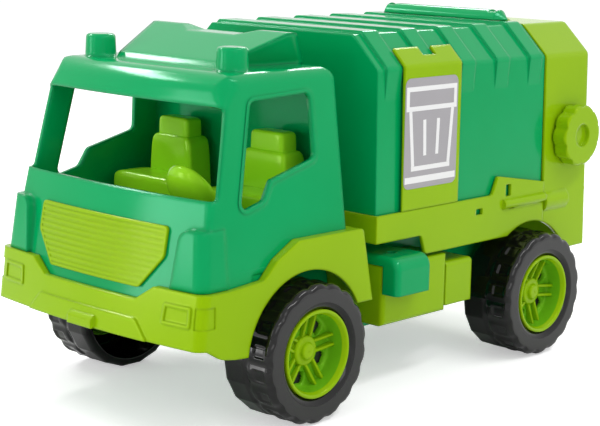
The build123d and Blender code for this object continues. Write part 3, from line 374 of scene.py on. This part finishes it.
# The back faces seen through the openings, painted dull black as painted shade
opening_painted_shade = ((rim_depth > 21.0) * (rim_radius > 12) * (roundness < 1.2))[~open_bottom]
# A rib's side, as depth and radius, then half its thickness and its distance from the radius
rib_outline = [(18.6, 10.0), (15.4, 10.0), (12.2, 29.6), (18.6, 29.2)]
rib_half = 1.1
rib_shift = 4.1


def ribs_mesh(name, place, side, first_turn, material):
    """Five pairs of straight ribs standing on the dish, each a thin plate from the hub to the wall."""
    vertices = []
    faces = []
    for i in range(rib_pairs):
        for shift in (-rib_shift, rib_shift):
            a = first_turn + 2 * pi * i / rib_pairs
            base = len(vertices)
            for edge in (-rib_half, rib_half):
                for rib_depth, rib_radius in rib_outline:
                    y = rib_radius * cos(a) - (shift + edge) * sin(a)
                    z = rib_radius * sin(a) + (shift + edge) * cos(a)
                    x = place[0] - side * rib_depth / 1000
                    vertices.append((x, place[1] + y / 1000, place[2] + z / 1000))
            faces.append((base, base + 1, base + 2, base + 3)[::side])
            faces.append((base + 7, base + 6, base + 5, base + 4)[::side])
            for j in range(4):
                k = (j + 1) % 4
                faces.append((base + j, base + 4 + j, base + 4 + k, base + k)[::side])
    mesh = bpy.data.meshes.new(name)
    mesh.from_pydata(vertices, [], faces)
    return new_piece(name, mesh, material)


# In the dish's depth the lime is painted greener: painted shade standing for the light that reaches it by
# way of its own walls
dish_shade_pale = (0.17, 0.475, 0.012)
dish_shade_deep = (0.15, 0.455, 0.010)
dish_painted_shade = moulded_plastic("dish_painted_shade", dish_shade_pale, dish_shade_deep, 0.15, 0.0018, (0.5, 0.9, 0.12))
# The dish's faces that get the painted greener shade
dish_shade_faces = np.repeat((rim_points[:, 0] > 5.0) & (rim_points[:, 1] > 12.2), rim_turns)
dish_shade_faces = dish_shade_faces[~open_bottom.reshape(-1)]

# Angle of the first pair of ribs above the horizontal, as the photographed wheels stand
rib_turns = {"front_left": 9, "rear_left": -6, "front_right": 40, "rear_right": 22}
for wheel, first in rib_turns.items():
    end, side_name = wheel.split("_")
    side = 1 if side_name == "left" else -1
    low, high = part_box(f"tyre_{wheel}")
    place = (high[0] if side > 0 else low[0], (low[1] + high[1]) / 2, (low[2] + high[2]) / 2)
    angle = 2 * pi * rim_turn + radians(first + 180 / rib_pairs)
    x = place[0] - side * rim_depths / 1000
    y = place[1] + side * rim_radius / 1000 * np.cos(angle)
    z = place[2] + rim_radius / 1000 * np.sin(angle)
    rim = ring_skin(f"rim_skin_{wheel}", np.stack([x, y, z], axis=-1), lime_plastic, open_bottom)
    rim.data.materials.append(dish_painted_shade)
    rim.data.materials.append(dull_black_and_shade)
    # Material 2, dull black, is painted shade behind the openings; material 1 is the dish's painted greener
    # shade
    rim.data.polygons.foreach_set("material_index", np.where(opening_painted_shade, 2, dish_shade_faces).astype(np.int32))
    first_turn = side * radians(first) + (0 if side > 0 else pi)
    ribs = ribs_mesh(f"rim_ribs_{wheel}", place, side, first_turn, lime_plastic)
    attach(rim, f"wheel_{wheel}")
    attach(ribs, f"wheel_{wheel}")
    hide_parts(f"rim_{wheel}")

# Seats
# The real bench pieces are hollow mouldings with swelling sides: a cushion, a back that narrows
# upwards, and a head. Each is a box with round edges, whose outline and section are superellipses.
# Inside the cab the lime is painted lighter than the other lime mouldings: painted light for the cab's
# shaded inside. The steering wheel has it too.
inside_lit_pale = (0.34, 0.76, 0.018)
inside_lit_deep = (0.32, 0.73, 0.015)
inside_painted_lit_lime = moulded_plastic("inside_painted_lit_lime", inside_lit_pale, inside_lit_deep, 0.15, 0.0010, (0.7, 1.0, 0.2))


def round_box(name, low, high, squareness, top_width, material):
    """A superellipsoid that fills a box and narrows towards its top.

    Each coordinate is a sine or cosine raised to a small power.
    """
    rise = np.linspace(-pi / 2, pi / 2, 41)[:, None]
    turn_round = np.linspace(0, 2 * pi, 96, endpoint=False)[None, :]

    def power(values):
        return np.sign(values) * np.abs(values) ** squareness

    height = power(np.sin(rise))
    narrowing = 1 - (1 - top_width) * (height + 1) / 2
    wide = power(np.cos(rise)) * power(np.cos(turn_round)) * narrowing
    deep = power(np.cos(rise)) * power(np.sin(turn_round))
    unit = np.stack(np.broadcast_arrays(wide, deep, height), axis=-1)
    low = np.array(low)
    high = np.array(high)
    points = (low + high) / 2 + unit * (high - low) / 2
    rows, columns, _ = points.shape
    index = np.arange(rows * columns).reshape(rows, columns)
    onward = np.roll(index, -1, axis=1)
    quads = np.stack([index[:-1], onward[:-1], onward[1:], index[1:]], axis=-1)
    mesh = bpy.data.meshes.new(name)
    mesh.from_pydata(points.reshape(-1, 3).tolist(), [], quads.reshape(-1, 4).tolist())
    mesh.polygons.foreach_set("use_smooth", np.ones(len(mesh.polygons), dtype=bool))
    piece = new_piece(name, mesh, material)
    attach(piece, "frame")
    return piece


seats_low, seats_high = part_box("seats")
seat_axle_y = (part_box("tyre_front_left")[0][1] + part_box("tyre_front_left")[1][1]) / 2
seat_floor_top = (*seats_high[:2], seats_low[2] + 0.003)
seat_floor = round_box("seat_floor", seats_low, seat_floor_top, 0.06, 1, inside_painted_lit_lime)
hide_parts("seats")
seat_middle_x = 0.0535
seat_foot_z = seats_low[2] + 0.001
# Of each part: half its width, its front and back behind the axle, its foot and top, and its shape
seat_parts = (
    ("cushion", 0.0375, -0.016, 0.018, seat_foot_z, 0.1680, 0.20, 0.98),
    ("back", 0.0295, 0.0145, 0.0385, seat_foot_z, 0.1975, 0.20, 0.78),
    ("head", 0.0185, 0.0175, 0.0350, 0.1900, seats_high[2], 0.28, 0.96),
)
for side_name, side in (("left", 1), ("right", -1)):
    seat_x = side * seat_middle_x
    for part, half_width, y0, y1, z0, z1, squareness, top_width in seat_parts:
        round_box(f"seat_{part}_{side_name}", (seat_x - half_width, seat_axle_y + y0, z0),
                  (seat_x + half_width, seat_axle_y + y1, z1), squareness, top_width, inside_painted_lit_lime)

# Cab's foot
# Behind each front corner the real cab's wall reaches down into the wing.
# A small green plate, 3 mm thick and just inside the wall, closes that place.
cab_side_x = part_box("cab")[1][0]
foot_inside = (0.0056, 0.0024)
foot_y = (seat_axle_y - 0.066, seat_axle_y - 0.038)
foot_z = (0.111, 0.1235)
for side_name, side in (("left", 1), ("right", -1)):
    foot_x = sorted(side * (cab_side_x - inside) for inside in foot_inside)
    foot_low, foot_high = zip(foot_x, foot_y, foot_z)
    round_box(f"cab_foot_{side_name}", foot_low, foot_high, 0.1, 1, green_plastic)

# Steering wheel
# The real one is a domed disc without openings, whose domed side faces forwards and down.
# Its section, carried round its own axis, is a quarter of an ellipse with a rolled edge and a hollow back.
wheel_low, wheel_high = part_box("steering_wheel")
wheel_x = (wheel_low[0] + wheel_high[0]) / 2 - 0.002
wheel_place = Vector((wheel_x, seat_axle_y - 0.0485, 0.1715))
wheel_radius = 0.0245
wheel_rise = 0.0125
wheel_wall = 0.002
hollow_drop = 0.001
axis_gap = 0.0002
steps = np.linspace(0, pi / 2, 22)
dome = [(wheel_radius * cos(t), wheel_rise * sin(t) ** 0.9) for t in steps]
back_face = [((wheel_radius - wheel_wall) * cos(t), (wheel_rise - wheel_wall) * sin(t) - hollow_drop)
             for t in steps[::-1]]
wheel_section = np.array([(max(r, axis_gap), h) for r, h in dome + back_face])
wheel_turn = np.linspace(0, 2 * pi, 72, endpoint=False)[None, :]
tilt = radians(122)
flat_x = wheel_section[:, :1] * np.cos(wheel_turn)
flat_y = wheel_section[:, :1] * np.sin(wheel_turn)
flat_z = wheel_section[:, 1:]
wheel_points = np.stack([
    wheel_place.x + flat_x,
    wheel_place.y + flat_y * cos(tilt) - flat_z * sin(tilt),
    wheel_place.z + flat_y * sin(tilt) + flat_z * cos(tilt),
], axis=-1)
# Painted lighter lime, as on the seats: painted light for the cab's shaded inside
steering_dome = ring_skin("steering_dome", wheel_points, inside_painted_lit_lime)
column_half = 0.006
column_y = wheel_place.y - 0.003
column_low = (wheel_place.x - column_half, column_y - column_half, wheel_low[2])
column_high = (wheel_place.x + column_half, column_y + column_half, wheel_place.z - 0.004)
round_box("steering_column", column_low, column_high, 0.3, 0.9, inside_painted_lit_lime)
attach(steering_dome, "frame")
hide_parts("steering_wheel")

# Label on each strap
# The real one is a grey sticker, printed white: a bin with a lid, and a blank strip under it.
# It is a sheet 0.3 mm off the strap, and the printing lies 0.1 mm further out.


def printed_shape(name, outlines, lift, material, side):
    """Flat pieces of one colour on the strap, from outlines of (place along the truck, height)."""
    vertices = []
    faces = []
    for points in outlines:
        faces.append(tuple(range(len(vertices), len(vertices) + len(points)))[::side])
        for y, z in points:
            lean = (z - strap_low[2]) / (shoulder_z - strap_low[2])
            strap_x = strap_high[0] + (shoulder_x - strap_high[0]) * lean
            vertices.append((side * (strap_x + lift), y, z))
    mesh = bpy.data.meshes.new(name)
    mesh.from_pydata(vertices, [], faces)
    piece = new_piece(name, mesh, material)
    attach(piece, "bed")


def rounded_rectangle(y0, y1, z0, z1, corner):
    """Outline of a rectangle with round corners."""
    points = []
    middles = ((y1 - corner, z1 - corner, 0), (y0 + corner, z1 - corner, 90),
               (y0 + corner, z0 + corner, 180), (y1 - corner, z0 + corner, 270))
    for middle_y, middle_z, first in middles:
        for i in range(7):
            a = radians(first + 15 * i)
            points.append((middle_y + corner * cos(a), middle_z + corner * sin(a)))
    return points


def bar(start, end, width):
    """Outline of a straight printed line."""
    along = Vector((end[0] - start[0], end[1] - start[1])).normalized() * width / 2
    side_step = Vector((-along.y, along.x))
    first = Vector(start) - along
    last = Vector(end) + along
    corners = (first - side_step, last - side_step, last + side_step, first + side_step)
    return [tuple(corner) for corner in corners]


strap_low, strap_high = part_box("strap_left")
shoulder_x = strap_high[0] - 0.0006
shoulder_z = 0.2585
label_y = (strap_low[1] + 0.0006, strap_low[1] + 0.0666)
label_z = (0.1625, 0.2505)
grey_paper = moulded_plastic("grey_paper", (0.40, 0.385, 0.405), (0.38, 0.365, 0.385), 0.35, 0.0001)
white_ink = moulded_plastic("white_ink", (0.86, 0.86, 0.86), (0.84, 0.84, 0.84), 0.35, 0.0001)
print_margin = 0.0034
left_y, right_y = label_y[0] + print_margin, label_y[1] - print_margin
line = 0.0038
lid_foot, lid_top = 0.2262, 0.2418
bin_foot = 0.1785
wall_top_in, wall_foot_in = 0.0035, 0.0072
rib_top, rib_foot = 0.2150, 0.1900
rib_top_in, rib_foot_in = 0.0210, 0.0220
strip_in, strip_z, strip_width = 0.0005, 0.1695, 0.0052
picture = [
    bar((left_y, lid_top), (right_y, lid_top), line),
    bar((left_y, lid_foot), (right_y, lid_foot), line),
    bar((left_y, lid_foot + line), (left_y, lid_top - line), line),
    bar((right_y, lid_foot + line), (right_y, lid_top - line), line),
    bar((left_y + wall_top_in, lid_foot - line), (left_y + wall_foot_in, bin_foot + line), line),
    bar((right_y - wall_top_in, lid_foot - line), (right_y - wall_foot_in, bin_foot + line), line),
    bar((left_y + wall_foot_in, bin_foot), (right_y - wall_foot_in, bin_foot), line),
    bar((left_y + rib_top_in, rib_top), (left_y + rib_foot_in, rib_foot), line),
    bar((right_y - rib_top_in, rib_top), (right_y - rib_foot_in, rib_foot), line),
    bar((left_y + strip_in, strip_z), (right_y - strip_in, strip_z), strip_width),
]
label_corner = 0.006
label_lift = 0.0003
print_lift = 0.0004
for side_name, side in (("left", 1), ("right", -1)):
    outline = rounded_rectangle(*label_y, *label_z, label_corner)
    printed_shape(f"label_{side_name}", [outline], label_lift, grey_paper, side)
    printed_shape(f"label_print_{side_name}", picture, print_lift, white_ink, side)
